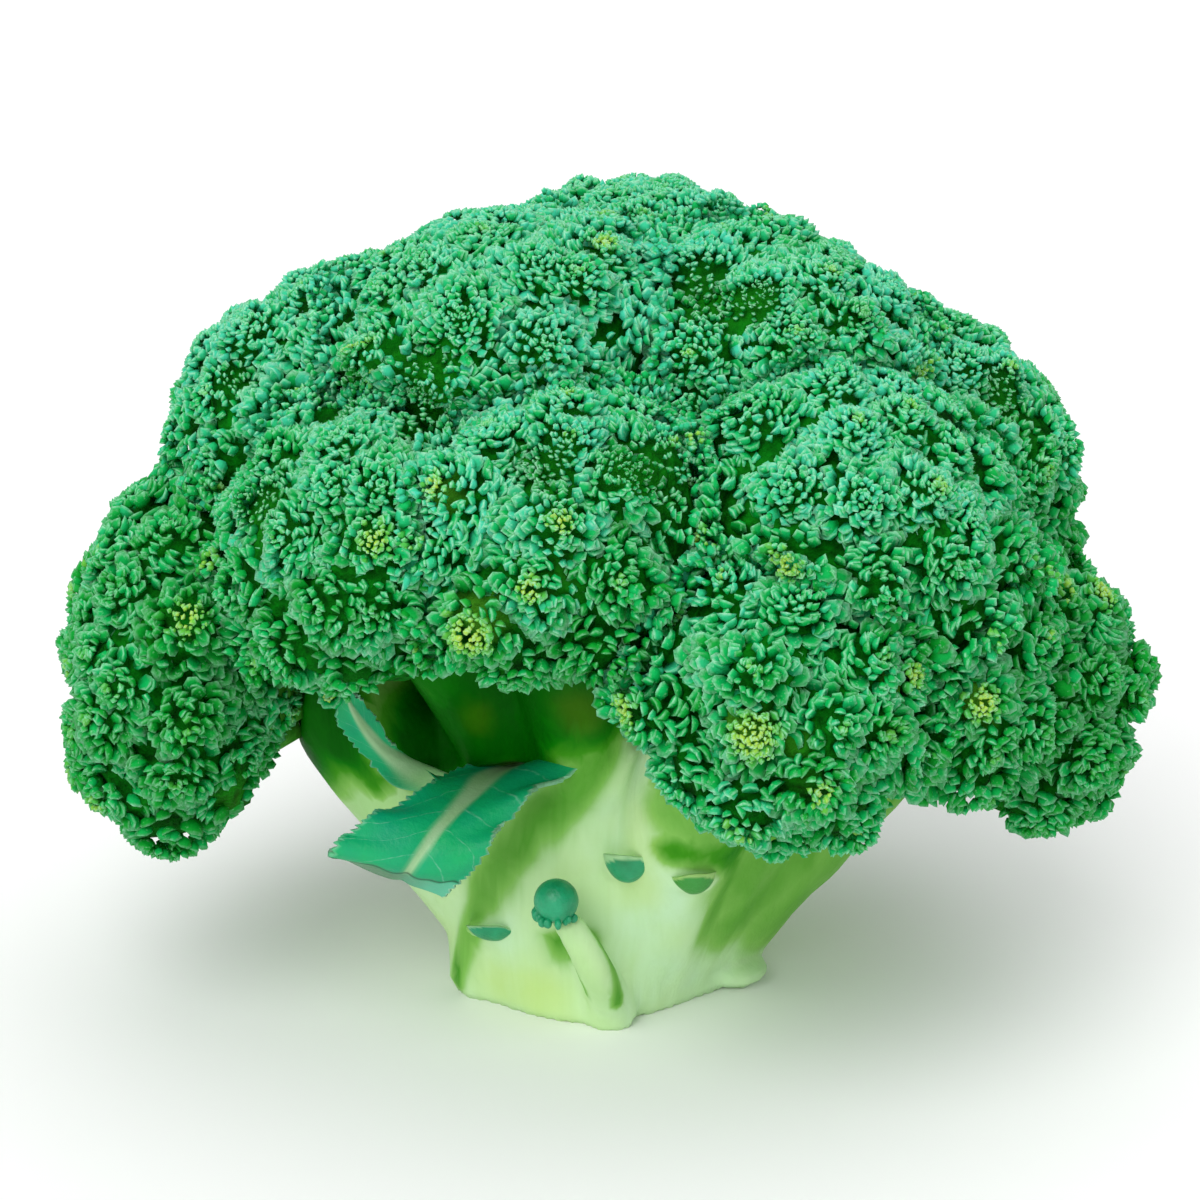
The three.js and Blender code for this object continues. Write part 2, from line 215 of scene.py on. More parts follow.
def makeMottleGroup():
    # soft blotches and a fine grain over a plant's skin
    group, given, result = newGroup(
        "plantMottle",
        [("Coordinates", "Vector", None), ("Blotch Scale", "Float", 120), ("Grain Scale", "Float", 900)],
        [("Blotches", "Float"), ("Grain", "Float")],
    )
    patterns = (("Blotches", "Blotch Scale", 3, 0.55), ("Grain", "Grain Scale", 2, 0.6))
    for output, scale, detail, rough in patterns:
        pattern = addNode(group, "ShaderNodeTexNoise", {
            "Vector": given["Coordinates"], "Scale": given[scale], "Detail": detail, "Roughness": rough})
        group.links.new(mapRange(group, pattern.outputs["Fac"], 0.3, 0.7, 0, 1), result[output])
    return group


def makeFibreGroup():
    # long streaks that run up a stem
    group, given, result = newGroup(
        "stemFibre",
        [("Coordinates", "Vector", None), ("Across", "Float", 500), ("Along", "Float", 25)],
        [("Streaks", "Float")],
    )
    stretch = addNode(group, "ShaderNodeCombineXYZ", {
        "X": given["Across"], "Y": given["Across"], "Z": given["Along"]})
    scaled = addNode(group, "ShaderNodeVectorMath", {
        0: given["Coordinates"], 1: stretch.outputs[0]}, operation="MULTIPLY")
    streaks = addNode(group, "ShaderNodeTexNoise", {
        "Vector": scaled.outputs[0], "Scale": 1, "Detail": 3, "Roughness": 0.6, "Distortion": 0.4})
    group.links.new(mapRange(group, streaks.outputs["Fac"], 0.3, 0.7, 0, 1), result["Streaks"])
    return group


mottleGroup = makeMottleGroup()
fibreGroup = makeFibreGroup()


# Crown

crown = {
    # middle of each dome, its radius across and along its branch, and the height it faces away from
    "florets": {
        "floret_top_back": ((5.5, 26, 98), 31, 24.5, 24),
        "floret_top_left": ((-15.5, -4, 99.5), 31, 24.5, 24),
        "floret_top_right": ((22.5, -2, 97.5), 28.5, 24, 24),
        "floret_left_up": ((-44.5, 4, 91.5), 24, 20.5, 24),
        "floret_right_up": ((49, 4, 84.5), 24.5, 20.5, 24),
        "floret_front_left": ((-33, -26, 80), 26, 21.5, 24),
        "floret_front_mid": ((-8.5, -37, 83.5), 24.5, 20.5, 24),
        "floret_front_right": ((34.5, -30, 82), 28, 22, 24),
        "floret_left_low": ((-66.5, -6, 54.5), 29, 17.5, 46),
        "floret_right_low": ((65, -8, 50.5), 22.5, 17, 38),
        "floret_front_low": ((23.5, -48, 64), 23, 19.5, 30),
        "floret_front_side": ((46, -30, 63), 22, 19, 30),
        "floret_back_left": ((-32, 34, 86), 27, 22, 24),
        "floret_back_right": ((38, 34, 82), 27, 22, 24),
        "floret_back_mid": ((3, 51, 76), 26, 20, 24),
        "floret_back_low_left": ((-44, 36, 57), 25, 19, 36),
        "floret_back_low_right": ((47, 34, 54), 24, 19, 36),
        "floret_back_low": ((4, 56, 52), 22, 17, 36),
    },
    # lobes whose middle is young and yellow-green: a place on the crown and how wide the yellow reaches
    "youngSpots": (
        ((19, -70, 65), 4.6), ((-18, -56, 77), 3.8), ((-33, -50, 87), 2.6), ((25, -54, 85), 2.6),
        ((15, -48, 86), 2.2), ((-62, -32, 69), 2.6), ((-2, -14, 120), 2.2), ((-7, -58, 92), 2.2),
        ((4, -58, 65), 2.4), ((-56, -23, 38), 3), ((52, -49, 63), 3), ((74, -15, 67), 2.6),
        ((-11, -60, 83), 2.2), ((-25, -50, 95), 2), ((41, -56, 69), 2.2), ((28, -67, 57), 2),
    ),
    # hollows with very small, sunken buds, painted deep green as shade: a place on the crown and its
    # width
    "hollows": (
        ((-26, -33, 98), 6), ((-26, -31, 106), 5), ((-10, -51, 99), 6.5), ((5, -47, 96), 7),
        ((13, -18, 115), 6), ((20, -22, 115), 5), ((-51, -37, 89), 6), ((-41, -26, 102), 5.5),
        ((61, -9, 98), 6), ((-57, -14, 103), 4.5), ((-20, 40, 103), 6), ((30, 48, 98), 6),
        ((52, 30, 92), 5), ((-50, 36, 88), 5),
    ),
    "gap": 0.3,  # between two florets
    "coneWide": 1.3,  # the underside, as shares of the radius across
    "coneDepth": 0.95,
    "neckDrop": 0.64,
    "lobePitch": 14,
    "lobeRise": 3.7,
    "lobeLift": 0.9,  # how far a whole lobe may stand out or in
    "lobeShift": 0.16,  # of a lobe from its even place, as a share of the radius
    "lobeWarp": 0.16,  # how uneven the borders between lobes are
    "warpSize": 6,  # of those borders' waves, and of those of the hollows' outlines
    "youths": (0.1, 0.8),  # how yellow-green the middle of an ordinary lobe is
    "yellows": (1, 2.2),  # and how wide that reaches
    "offSurface": 5,  # how far outside a floret its young spots may be given
    "budForms": ((0.46, 0.4, 2), (0.34, 0.16, 3), (0.3, 0, 3)),  # back, face and rings of each kind
    "budSides": (5, 5, 7),  # of the small, middling and large kind
    "budKinds": (1.55, 2.4),  # the widths from which a bud is middling or large
    "budReach": 16.5,  # how far from the middle of a lobe its buds go
    "budCount": 240,  # in a whole round of that reach
    "crowding": 0.72,  # 0.5 is even; more crowds the middle with smaller buds
    "budWidths": (1.25, 3.0),  # in the middle and at the rim of a lobe
    "widthCurve": 1.1,  # over 1, they widen later on the way to the rim
    "widthStray": 0.25,  # of a bud's width, as a share of it
    "budStray": 0.7,  # of a bud from its even place, as a share of its width
    "budTwist": 0.9,  # radians
    "budLean": 1.25,  # radians, of the buds at the rim of a lobe
    "leanCurve": 0.36,  # under 1, the buds near its middle lean nearly as much
    "leanStray": 0.34,
    "budSink": 0.42,  # how far a bud's middle is under the surface, as a share of its width
    "tinyWidth": 0.95,  # of the buds in a young middle
    "tinyCrowd": 6,  # their count for a yellow reach of 1 mm
    "tinyReach": 0.85,  # how much of the yellow they fill
    "tinyOverlap": 0.75,  # and from where the other buds begin
    "tone": 0.42,  # of a bud, from 0 for deep green to 1 for pale blue-green
    "lobeTone": 0.16,  # how much it differs from lobe to lobe
    "budTone": 0.3,  # and from bud to bud
    "paintedTopLight": 0.6,  # and from the rim of the crown to its top: painted light, paler and bluer where the light from above falls
    "paler": {"floret_front_low": 0.2},
    "seamFill": 3.2,  # how far the surface rises towards the seam between two florets
    "seamFrom": 5,  # how far before the seam that begins
    "seamOverlap": 2.4,  # how far a bud may pass that seam
    "seamReach": 3.8,  # how far down the flat sides at a seam the buds go
    "rimOverlap": 0.5,  # how far a bud may stand out under the rim
    "clumpRise": 1.9,  # of the uneven little heaps that the buds stand in
    "clumpSize": 5,
    "hollowDepth": 1.7,
    "hollowWarp": 0.5,  # how uneven the outline of a hollow is
    "hollowBuds": 0.45,  # how much smaller the buds are in a hollow
    "topFrom": 62,  # between these heights the buds get smaller and the lobes flatter
    "topTo": 108,
    "topSize": 0.7,
    "topRise": 0.7,
    "coreShrink": 2.2,  # how deep the green middle lies under the buds
    "coreOverlap": 0.6,  # how far it may stand out under the rim
    "branchletSides": 8,
    "branchletRadii": (2.2, 2.6),
    "branchletBand": 0.3,  # they hold up the lobes this near the rim
    "branchletFoot": 0.72,  # of the neck's radius
    "branchletReach": 0.62,  # of the radius across
    "branchletBow": 1.5,
    "pressedFrom": 0.95,  # a lobe past this share of the way to a flat side has none
    "seed": 7,
}
# a tiny side bud beside the tip of the small leaf
sideBud = {
    "floret": "floret_front_left",
    "at": (-41.8, -29.5, 56.6),
    "facing": (-0.3, -1, 0.3),
    "scales": 8,
    "scaleWidth": 2.3,
    "beads": 6,
    "beadWidth": 1.1,
}


lobeRadius = crown["lobePitch"] / math.sqrt(3)


def readFlorets():
    # each floret with its facing direction and the flat sides where its neighbours press
    florets = []
    for name, (middle, across, thick, faceFrom) in crown["florets"].items():
        middle = place(middle)
        axis = (middle - place((0, 0, faceFrom))).normalized()
        florets.append({"name": name, "middle": middle, "axis": axis, "across": across * mm,
                        "thick": thick * mm, "flats": []})
    for floret in florets:
        for other in florets:
            towards = other["middle"] - floret["middle"]
            apart = towards.length
            reach = floret["across"] + other["across"] + crown["lobeRise"] * mm
            if other is floret or apart > reach:
                continue
            share = (apart ** 2 + floret["across"] ** 2 - other["across"] ** 2) / (2 * apart)
            floret["flats"].append((towards.normalized(), share - crown["gap"] * mm / 2))
    return florets


def spiralDirections(axis, count):
    # even directions over a ball, on the spiral that plants use
    turn = upward.rotation_difference(axis)
    directions = []
    for i in range(count):
        height = 1 - (2 * i + 1) / count
        ring = math.sqrt(1 - height * height)
        angle = i * goldenAngle
        directions.append(turn @ Vector((ring * math.cos(angle), ring * math.sin(angle), height)))
    return directions


def domeRadius(floret, direction):
    along = direction.dot(floret["axis"])
    out = math.sqrt(max(0, 1 - along * along))
    return 1 / math.hypot(out / floret["across"], along / floret["thick"])


def seamRadius(floret, direction):
    # how far the flat sides let the floret reach
    radius = 1
    for normal, distance in floret["flats"]:
        towards = direction.dot(normal)
        if towards > 0:
            radius = min(radius, distance / towards)
    return radius


def underRadius(floret, direction):
    # how far the cone of the underside and the neck let the floret reach
    across = floret["across"]
    along = direction.dot(floret["axis"])
    out = math.sqrt(max(0, 1 - along * along))
    cone = out / (crown["coneWide"] * across) - along / (crown["coneDepth"] * across)
    radius = 1 / cone if cone > 0 else 1
    if along < 0:
        radius = min(radius, crown["neckDrop"] * across / -along)
    return radius


def makeBud(kind, draw):
    # one closed bud, width 1, its root at the bottom: a tapered back and, at +Y, a face whose rim is
    # painted pale, partly its real waxy bloom and partly painted highlight
    shape = bmesh.new()
    rim = newLayers(shape, "rim", "age", "tone", "hollowShade")[0]
    thick, face, rings = crown["budForms"][kind]
    bmesh.ops.create_uvsphere(shape, u_segments=crown["budSides"][kind], v_segments=rings, radius=1)
    for vertex in shape.verts:  # layer is 1 at the middle of the face, -1 at that of the back
        side, top, layer = vertex.co
        out = math.hypot(side, top)
        root = smooth(-top, 0, 0.8)
        uneven = 1 + draw.uniform(-0.1, 0.1)
        if layer > 0.9:
            vertex[rim] = 0.55
            vertex.co = Vector((0, face, 0.06))
        elif layer > -0.1:
            vertex[rim] = 1 - root
            wide = side / out * 0.5 * (1 - 0.5 * root)
            vertex.co = Vector((wide, 0.1 + 0.04 * top, top / out * 0.62)) * uneven
        elif layer > -0.9:
            vertex[rim] = 0.5 - 0.5 * root
            wide = side / out * 0.4 * (1 - 0.5 * root)
            vertex.co = Vector((wide, 0.1 - thick, top / out * 0.46 - 0.08)) * uneven
        else:
            vertex[rim] = 0.4
            vertex.co = Vector((0, -thick - 0.06, -0.05))
    return asMesh(shape, "bud")


def makeStraightStem():
    # a stem of radius 1 and height 1, with rings to bend it at
    shape = bmesh.new()
    bmesh.ops.create_cone(shape, cap_ends=True, cap_tris=False, segments=crown["branchletSides"],
                          radius1=1, radius2=1, depth=1)
    bmesh.ops.translate(shape, verts=shape.verts, vec=(0, 0, 0.5))
    for height in (0.2, 0.4, 0.6, 0.8):
        geometry = shape.verts[:] + shape.edges[:] + shape.faces[:]
        bmesh.ops.bisect_plane(shape, geom=geometry, plane_co=(0, 0, height), plane_no=(0, 0, 1))
    return asMesh(shape, "straightStem")


def bendStem(straight, foot, bend, tip, radii):
    # the straight stem bent along a curve through foot and tip
    stem = straight.copy()
    for vertex in stem.vertices:
        x, y, t = vertex.co
        centre = foot * (1 - t) ** 2 + bend * 2 * t * (1 - t) + tip * t * t
        along = ((bend - foot) * (1 - t) + (tip - bend) * t).normalized()
        side = along.orthogonal().normalized()
        radius = blend(radii[0], radii[1], t * t)
        vertex.co = centre + (side * x + along.cross(side) * y) * radius
    return stem


def clumpAt(spot):
    # how far an uneven little heap of buds stands out here
    return noise.noise(spot / (crown["clumpSize"] * mm)) * crown["clumpRise"] * mm


def newLobe(floret, facing, draw, youth, yellow, tiny):
    # yellow is how wide the yellow of the middle reaches, tiny is the count of very small buds there
    centre = floret["middle"] + facing * domeRadius(floret, facing)
    height = smooth(centre.z / mm, crown["topFrom"], crown["topTo"])
    return {
        "facing": facing, "youth": youth, "yellow": yellow, "tiny": tiny, "height": height,
        "size": blend(1, crown["topSize"], height),
        "lift": draw.uniform(-crown["lobeLift"], crown["lobeLift"]) * mm,
        "rise": crown["lobeRise"] * blend(1, crown["topRise"], height) * mm,
    }


def lobesOf(floret, draw):
    lobes = []
    areaOfOne = crown["lobePitch"] ** 2 * math.sqrt(3) / 2
    count = int(4 * math.pi * (floret["across"] / mm) ** 2 / areaOfOne + 0.5)
    for direction in spiralDirections(floret["axis"], count):
        stray = Vector([draw.gauss(0, 1) for axis in range(3)]) * crown["lobeShift"] / 2
        facing = (direction + stray).normalized()
        youth, yellow = draw.uniform(*crown["youths"]), draw.uniform(*crown["yellows"])
        lobes.append(newLobe(floret, facing, draw, youth, yellow, 0))
    for spot, wide in crown["youngSpots"]:
        towards = place(spot) - floret["middle"]
        facing = towards.normalized()
        outside = domeRadius(floret, facing) + crown["offSurface"] * mm
        if towards.length > min(outside, seamRadius(floret, facing)):
            continue
        nearest = min(range(len(lobes)), key=lambda i: (lobes[i]["facing"] - facing).length)
        lobes[nearest] = newLobe(floret, facing, draw, 1, wide, int(wide ** 2 * crown["tinyCrowd"]))
    return lobes


def hollowAt(spot):
    # 1 in the middle of a hollow, 0 away from it
    uneven = 1 + crown["hollowWarp"] * noise.noise(spot / (crown["warpSize"] * mm))
    aways = ((spot - place(at)).length * uneven / (wide * mm) for at, wide in crown["hollows"])
    return max(math.exp(-away ** 4) for away in aways)


def placeBud(shape, bud, at, pointing, facing, width, shades):
    # a copy of the bud with its tip along pointing and its face along facing
    facing = (facing - pointing * facing.dot(pointing)).normalized()
    turn = Matrix((facing.cross(pointing), facing, pointing)).transposed().to_4x4()
    copy = bud.copy()
    for name, value in shades.items():
        setFloat(copy, name, value)
    copy.transform(Matrix.Translation(at) @ turn @ Matrix.Diagonal((width, width, width, 1)))
    shape.from_mesh(copy, face_normals=False, vertex_normals=False)
    bpy.data.meshes.remove(copy)


def lobeAt(tree, across, direction):
    # which lobe this direction belongs to
    warp = noise.noise_vector(direction * across / (crown["warpSize"] * mm)) * crown["lobeWarp"]
    return tree.find(direction + warp)[1]


def lobedRadius(floret, lobe, direction):
    # the floret's surface with its lobes and little heaps, before its neighbours press on it
    spread = min((direction - lobe["facing"]).length * floret["across"] / (lobeRadius * mm), 1)
    radius = domeRadius(floret, direction) + lobe["rise"] * (0.5 - spread ** 2) + lobe["lift"]
    return radius + clumpAt(floret["middle"] + direction * radius), spread


def growBuds(floret, lobes, tree, draw, budMeshes, shape):
    # every lobe gets its own spiral of buds, small in the middle and large at its rim
    across, middle = floret["across"], floret["middle"]
    thin, wide = crown["budWidths"]
    grown = 0
    for i, lobe in enumerate(lobes):
        facingOut, tiny, size, yellow = lobe["facing"], lobe["tiny"], lobe["size"], lobe["yellow"]
        lobeTone = draw.uniform(-crown["lobeTone"], crown["lobeTone"])
        lobeTone += crown["paler"].get(floret["name"], 0)
        phase = draw.uniform(0, 2 * math.pi)
        count = int(crown["budCount"] / size ** 2)
        side = facingOut.orthogonal().normalized()
        other = facingOut.cross(side)
        for k in range(count + tiny):
            out = ((k + 0.5) / count) ** crown["crowding"] * crown["budReach"]
            width = blend(thin, wide, min(out / lobeRadius, 1) ** crown["widthCurve"]) * size
            if k < count and tiny and out < yellow * crown["tinyOverlap"]:
                continue
            if k >= count:
                out = math.sqrt((k - count + 0.5) / tiny) * yellow * crown["tinyReach"]
                width = crown["tinyWidth"]
            jitter = Vector([draw.uniform(-1, 1) for axis in range(3)])
            budTone = draw.uniform(-crown["budTone"], crown["budTone"])
            twist = draw.uniform(-1, 1) * crown["budTwist"]
            angle = phase + k * goldenAngle
            flat = side * math.cos(angle) + other * math.sin(angle)
            stray = jitter * width * crown["budStray"]
            direction = (facingOut * across + (flat * out + stray) * mm).normalized()
            if lobeAt(tree, across, direction) != i:
                continue
            surface, spread = lobedRadius(floret, lobe, direction)
            if surface > underRadius(floret, direction) + crown["rimOverlap"] * mm:
                continue
            seam = seamRadius(floret, direction)
            if surface - seam > crown["seamReach"] * mm:
                continue
            surface += crown["seamFill"] * mm * smooth(surface - seam, -crown["seamFrom"] * mm, 0)
            furthest = seam + crown["seamOverlap"] * mm + clumpAt(middle + direction * seam)
            surface = min(surface, furthest)
            hollow = hollowAt(middle + direction * surface)
            surface -= crown["hollowDepth"] * mm * hollow
            width *= (1 + crown["widthStray"] * jitter.z) * (1 - crown["hollowBuds"] * hollow)
            outward = (direction - facingOut * direction.dot(facingOut)).normalized()
            lean = crown["budLean"] * spread ** crown["leanCurve"]
            pointing = direction * math.cos(lean) + outward * math.sin(lean)
            pointing = (pointing + jitter.yzx * crown["leanStray"]).normalized()
            facing = direction * math.sin(lean) - outward * math.cos(lean)
            facing = facing * math.cos(twist) + pointing.cross(facing) * math.sin(twist)
            at = middle + direction * (surface - crown["budSink"] * width * mm)
            kind = sum(width > least for least in crown["budKinds"])
            placeBud(shape, budMeshes[kind][k % 3], at, pointing, facing, width * mm, {
                "age": 1 - lobe["youth"] * math.exp(-(out / yellow) ** 2),
                "tone": crown["tone"] + lobeTone + budTone + crown["paintedTopLight"] * (lobe["height"] - 0.5),
                "hollowShade": hollow,
            })
            grown += 1
    return grown


def growSideBud(shape, budMeshes):
    # small pale beads with a ring of larger buds round them
    at, facing = place(sideBud["at"]), Vector(sideBud["facing"]).normalized()
    side = facing.orthogonal().normalized()
    for k in range(sideBud["beads"] + sideBud["scales"]):
        bead = k < sideBud["beads"]
        angle = k * goldenAngle
        flat = side * math.cos(angle) + facing.cross(side) * math.sin(angle)
        width = sideBud["beadWidth" if bead else "scaleWidth"] * mm
        pointing = (facing + flat * (0.3 if bead else 1)).normalized()
        spot = at + flat * width * 0.5 - facing * (0 if bead else 1) * mm
        shades = {"age": 0.1 if bead else 1, "tone": 0.5, "hollowShade": 0}
        placeBud(shape, budMeshes[0 if bead else 1][k % 3], spot, pointing, facing - flat, width, shades)


def makeCore(floret, lobes, tree):
    # the green middle that the buds stand out of
    core = bmesh.new()
    age, hollowShade = newLayers(core, "age", "hollowShade")
    bmesh.ops.create_icosphere(core, subdivisions=3, radius=1)
    for vertex in core.verts:
        direction = vertex.co.normalized()
        lobe = lobes[lobeAt(tree, floret["across"], direction)]
        surface, spread = lobedRadius(floret, lobe, direction)
        hollow = hollowAt(floret["middle"] + direction * surface)
        surface -= (crown["hollowDepth"] * hollow + crown["coreShrink"]) * mm
        surface = min(surface, seamRadius(floret, direction),
                      underRadius(floret, direction) + crown["coreOverlap"] * mm)
        vertex.co = floret["middle"] + direction * surface
        yellow = lobe["yellow"] if lobe["tiny"] else 0.1
        vertex[age] = 1 - math.exp(-(spread * lobeRadius / yellow) ** 4)
        vertex[hollowShade] = hollow
    for face in core.faces:
        face.material_index = 1
    return asMesh(core, "core")


def makeFloret(floret, draw, budMeshes, straightStem, materials):
    across = floret["across"]
    lobes = lobesOf(floret, draw)
    tree = KDTree(len(lobes))
    for i, lobe in enumerate(lobes):
        tree.insert(lobe["facing"], i)
    tree.balance()
    shape = bmesh.new()
    newLayers(shape, "rim", "age", "tone", "hollowShade")
    grown = growBuds(floret, lobes, tree, draw, budMeshes, shape)
    shape.from_mesh(makeCore(floret, lobes, tree))
    if floret["name"] == sideBud["floret"]:
        growSideBud(shape, budMeshes)

    # branchlets fan out under the rim
    neck = floret["middle"] - floret["axis"] * crown["neckDrop"] * across
    neckRadius = crown["coneWide"] * across * (1 - crown["neckDrop"] / crown["coneDepth"])
    bow = crown["branchletBow"] * mm
    for lobe in lobes:
        facing = lobe["facing"]
        along = facing.dot(floret["axis"])
        pressed = any(facing.dot(normal) * across * crown["pressedFrom"] > distance
                      for normal, distance in floret["flats"])
        if pressed or abs(along) >= crown["branchletBand"]:
            continue
        side = (facing - floret["axis"] * along).normalized()
        foot = neck + side * neckRadius * crown["branchletFoot"]
        tip = floret["middle"] + facing * across * crown["branchletReach"]
        bend = (foot + tip) / 2 - floret["axis"] * bow + side * bow
        stem = bendStem(straightStem, foot, bend, tip, place(crown["branchletRadii"]))
        for face in stem.polygons:
            face.material_index = 2
        shape.from_mesh(stem)
    name = floret["name"] + "_buds"
    newPiece(name, asMesh(shape, name), materials, floret["name"])
    return grown


def makeBudMaterial():
    material, tree, shader = newMaterial("budSkin", Roughness=0.6, Specular_IOR_Level=0.1)
    age, tone, rim, hollowShade = attributes(tree, "age", "tone", "rim", "hollowShade")
    mottle = placeMottle(tree, 55, 1400)
    byAge = ramp(tree, age, [
        (0, colour(190, 222, 78)), (0.4, colour(120, 202, 70)), (0.75, colour(40, 176, 70)),
        (1, colour(10, 182, 98))])
    byTone = ramp(tree, tone, [
        (0, colour(2, 152, 34)), (0.5, colour(8, 186, 98)), (1, colour(72, 212, 180))])
    skin = mixColours(tree, mapRange(tree, age, 0.35, 0.95, 0, 0.9), byAge, byTone)
    skin = mixColours(tree, multiply(tree, mottle["Blotches"], 0.3), skin, colour(5, 150, 44))
    # pale rims: partly the buds' real waxy bloom, partly painted highlight
    edge = multiply(tree, mapRange(tree, rim, 0.76, 0.98, 0, 1),
                    mapRange(tree, mottle["Grain"], 0, 1, 0.1, 1))
    edge = multiply(tree, edge, mapRange(tree, tone, 0, 0.6, 0.55, 1))
    # painted glints: small bright specks scattered over the buds
    paintedGlint = mapRange(tree, mottle["Grain"], 0.72, 1, 0, 0.36)
    # painted shade: each bud darkens to a saturated green towards its root, down among the others
    root = mixColours(tree, mapRange(tree, tone, 0.3, 1, 0, 1), colour(0, 128, 8), colour(8, 144, 76))
    skin = mixColours(tree, mapRange(tree, rim, 0, 0.42, 0.95, 0), skin, root)
    # painted shade: buds in a hollow turn deep green
    skin = mixColours(tree, multiply(tree, hollowShade, 0.85), skin, colour(6, 136, 10))
    # painted highlight and bloom: rims and glints turn pale mint
    skin = mixColours(tree, calculate(tree, "MAXIMUM", edge, paintedGlint), skin, colour(172, 238, 198))
    finishSkin(tree, shader, skin, mottle["Grain"], 0.35, 0.2)
    return material


def makeCoreMaterial():
    material, tree, shader = newMaterial("crownShade", Roughness=0.9, Specular_IOR_Level=0.1)
    mottle = placeMottle(tree, 480, 1300)
    skin = mixColours(tree, mottle["Blotches"], colour(0, 64, 2), colour(2, 130, 16))
    hollowShadeGreen = mixColours(tree, mottle["Grain"], colour(3, 100, 6), colour(20, 134, 14))
    age, hollowShade = attributes(tree, "age", "hollowShade")
    # painted shade: the core turns deep green in a hollow
    skin = mixColours(tree, hollowShade, skin, hollowShadeGreen)
    skin = mixColours(tree, age, colour(84, 160, 34), skin)
    finishSkin(tree, shader, skin, mottle["Blotches"], 0.8, 0.8)
    return material


def makeBranchletMaterial():
    material, tree, shader = newMaterial("branchletSkin", Roughness=0.5, Specular_IOR_Level=0.25)
    fibre = placeFibre(tree, 420, 60)
    skin = mixColours(tree, fibre["Streaks"], colour(20, 124, 12), colour(84, 164, 48))
    finishSkin(tree, shader, skin, fibre["Streaks"], 0.3, 0.4)
    return material


def makeCrown():
    draw = random.Random(crown["seed"])
    budMeshes = [[makeBud(kind, draw) for k in range(3)] for kind in range(3)]
    straightStem = makeStraightStem()
    materials = [makeBudMaterial(), makeCoreMaterial(), makeBranchletMaterial()]
    total = 0
    for floret in readFlorets():
        total += makeFloret(floret, draw, budMeshes, straightStem, materials)
    print("crown:", total, "buds")


# Stalk

stalk = {
    "voxel": 0.8,
    "keepFaces": 0.3,  # share of the fine faces that are kept
    "softening": 8,  # rounds of smoothing, which melt the branches into the trunk
    "crispUpTo": 5,  # the cut and its ledge stay crisp below this height
    "flatFoot": 0.55,  # what lies lower than this is the cut face
    "ribDepth": 0.9,  # of the broad soft ribs that run up the trunk
    "ribSize": 7,
    "ribStretch": 7,  # how much longer than broad they are
    "ribFade": (1, 4),  # the heights between which they begin
    "stubFilling": 1.08,  # how much larger than a stub the filling of its hollow is
    "stubSwelling": 0.4,  # how far the filling stands out, as a share of the stub
    # soft patches of painted shade and shadow, partly the skin's real greener colour: the two ends of
    # each, how far it fades out, and how green and dark it makes the skin
    "patches": (
        ((-26, -14, 46), (-3, -31, 60), 9, 1.5),  # painted shade in the hollow under the front florets, over the branches' own greener colour
        ((-6, -24, 50), (0, -30, 54), 6, 0.95),
        ((-16, -21, 50), (-12, -21, 47), 7, 1),
        ((-44, -16, 54), (-42, -16, 51), 3.5, 0.8),  # painted shade behind the small leaf
        ((-42, -15, 51), (-40.5, -15, 43), 3, 0.75),  # painted shadow along the small leaf
        ((-41.5, -15, 43), (-36, -15, 37), 2.6, 0.7),
        ((-44, -13, 42), (-34, -15, 30), 12, 0.2),  # the left branch is greener all over
        ((-1, -27, 46), (-7.5, -23, 37), 4.2, 0.46),  # the shade of the large leaf
        ((-7.5, -23, 37), (-15, -21.5, 29), 4.4, 0.46),
        ((-15, -21.5, 29), (-20, -18, 20), 4.4, 0.44),
        ((-20, -18, 20), (-25, -12, 3), 3, 0.4),  # down the left side
        ((-24, -12, 4), (-24, -12, 3), 2.4, 0.6),
        ((8, -36, 46), (13, -31, 35), 3.4, 0.4),  # painted shadow under the low front floret
        ((11, -33, 41), (15, -30, 36), 6.5, 0.45),
        ((10, -31, 34), (19, -28, 31.5), 3.8, 0.7),
        ((19, -28, 31), (42, -22, 36), 4.4, 0.75),
        ((19, -25, 28), (16, -21.5, 12), 3.4, 0.48),  # painted shade on the right side
        ((21, -19, 13), (30, -17, 24), 7.5, 0.46),
        ((22, -22, 24), (40, -17, 38), 10, 0.44),
        ((27, -9, 13), (44, -8, 36), 10, 0.42),
        ((-9, -24, 13), (-4, -27, 15), 3, 0.5),  # painted shading round the shoot
        ((-7.5, -31.5, 21), (-1, -29.5, 6), 2.4, 0.13),
        ((-7, -28.5, 19), (-4.6, -28, 8), 1.5, 0.5),
        ((-2.6, -29, 19), (1, -27, 6), 1.6, 0.55),
    ),
    "yellowPatches": (
        ((-18, -20, 5), (-12, -24, 4), 5, 0.6),
        ((11, -23, 4), (13, -22, 4), 2.4, 0.9),
        ((3, -31, 37), (4, -28, 24), 4, 0.35),
        ((-5, -31, 56), (-4, -31, 53), 3.4, 0.35),
        ((-20, -24, 52), (-20, -24, 50), 2.4, 0.25),
    ),
    "undersideReach": (-5, 6),  # how near a floret the skin turns dark green: partly the upper branches' real greener colour, partly painted shade under the crown
    "undersideGreenAndShade": 0.85,
}


def patchShare(spot, patches):
    # how strongly the patches colour this spot, in millimetres
    share = 0
    for start, end, fade, strength in patches:
        start, end = Vector(start), Vector(end)
        along = min(max((spot - start).dot(end - start) / (end - start).length_squared, 0), 1)
        away = (spot - start.lerp(end, along)).length
        share = max(share, strength * math.exp(-(away / fade) ** 3))
    return share


